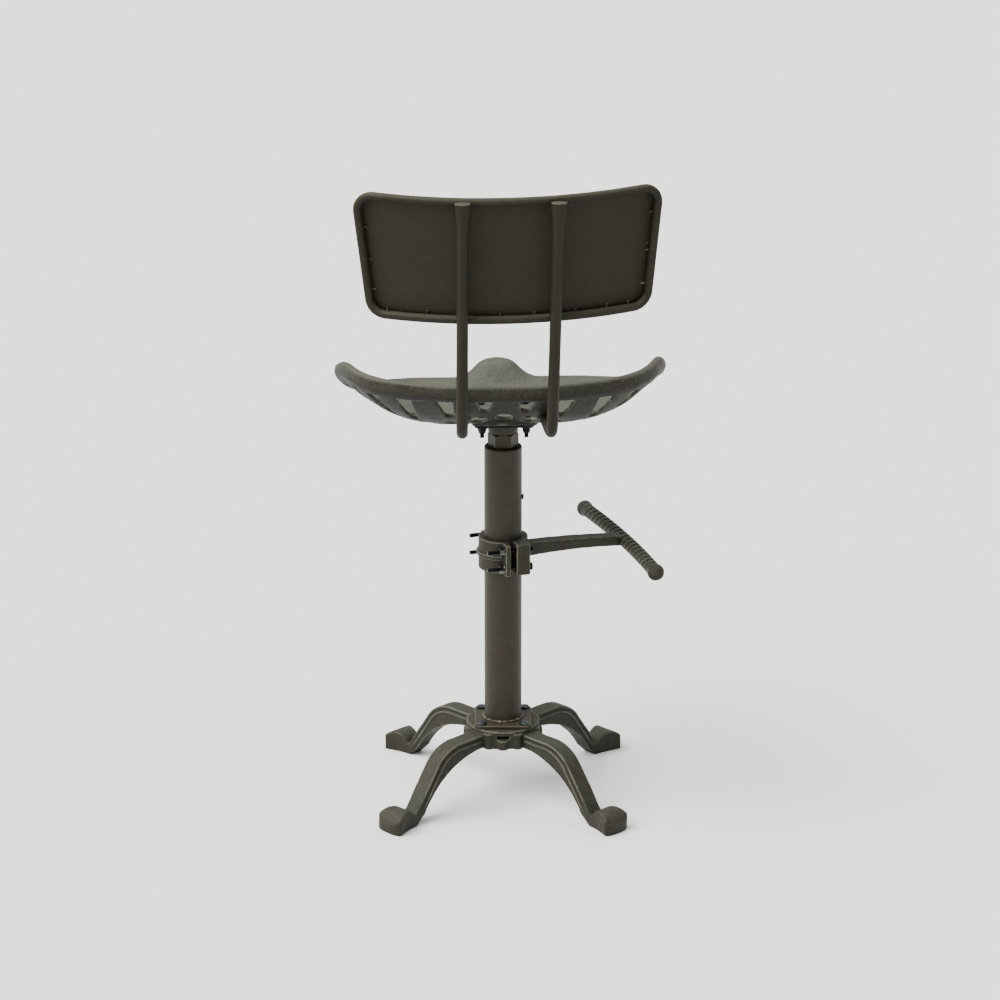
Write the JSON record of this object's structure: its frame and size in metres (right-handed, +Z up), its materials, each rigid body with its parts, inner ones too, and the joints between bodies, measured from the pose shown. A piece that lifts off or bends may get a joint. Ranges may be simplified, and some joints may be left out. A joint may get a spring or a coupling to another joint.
{
  "type": "tractor seat stool",
  "caption": "Turning stool with a pierced cast tractor seat, a curved backrest on bent rods, a screw lift column, a clamped footrest bar and cast cabriole legs.",
  "frame": {"origin": "on the floor under the column's axis, in the plane of the four soles", "axes": "+Z up along the column, +Y the way the sitter faces, +X to the sitter's right"},
  "size_m": [0.4431, 0.4265, 0.897],
  "materials": {
    "cast_paint": "satin olive brown paint over sand cast iron, worn at the edges",
    "seat_paint": "satin grey olive paint over cast iron, paler along the rim",
    "column_paint": "satin olive brown paint with fine pits",
    "rod_paint": "satin grey olive paint",
    "panel_paint": "matt dark olive brown paint on sheet",
    "bolt_black": "dark oiled steel",
    "zinc_steel": "dull zinc plating",
    "worn_steel": "bare steel, lightly greased",
    "liner_plastic": "black nylon"
  },
  "bodies": {
    "base": {"base_spider": "cast_paint", "base_plate": "column_paint", "base_bolts": "bolt_black", "column_tube": "column_paint", "column_weld": "column_paint", "column_stud": "bolt_black", "column_cap": "column_paint", "lift_nut": "column_paint"},
    "lift": {"thrust_washer": "worn_steel"},
    "seat": {"lift_screw": "worn_steel", "screw_stop": "worn_steel", "seat_boss": "column_paint", "seat_plate": "bolt_black", "seat_pan": "seat_paint", "seat_bolts": "bolt_black", "seat_washers": "bolt_black", "seat_nuts": "bolt_black", "back_post_left": "rod_paint", "back_post_right": "rod_paint", "back_frame": "rod_paint", "back_panel": "panel_paint", "back_tacks": "rod_paint"},
    "clamp_sleeve": {"clamp_liner": "liner_plastic"},
    "footrest": {"footrest_arm": "cast_paint", "footrest_bar": "cast_paint", "clamp_cap": "cast_paint", "clamp_bolts": "zinc_steel", "clamp_washers": "zinc_steel", "clamp_nuts": "zinc_steel"}
  },
  "joints": [
    {"name": "seat_lift", "type": "slide", "parent": "base", "child": "lift", "axis": [0, 0, 1], "range_m": [0, 0.18]},
    {"name": "seat_turn", "type": "hinge", "parent": "lift", "child": "seat", "pos_m": [0, 0, 0.517], "axis": [0, 0, 1], "range_deg": [0, 12960]},
    {"name": "footrest_height", "type": "slide", "parent": "base", "child": "clamp_sleeve", "axis": [0, 0, 1], "range_m": [-0.2, 0.045]},
    {"name": "footrest_swing", "type": "hinge", "parent": "clamp_sleeve", "child": "footrest", "pos_m": [0, 0, 0.348], "axis": [0, 0, 1], "continuous": true}
  ],
  "couplings": [
    {"joint": "seat_lift", "follows": "seat_turn", "m_per_rad": 0.0007957}
  ]
}
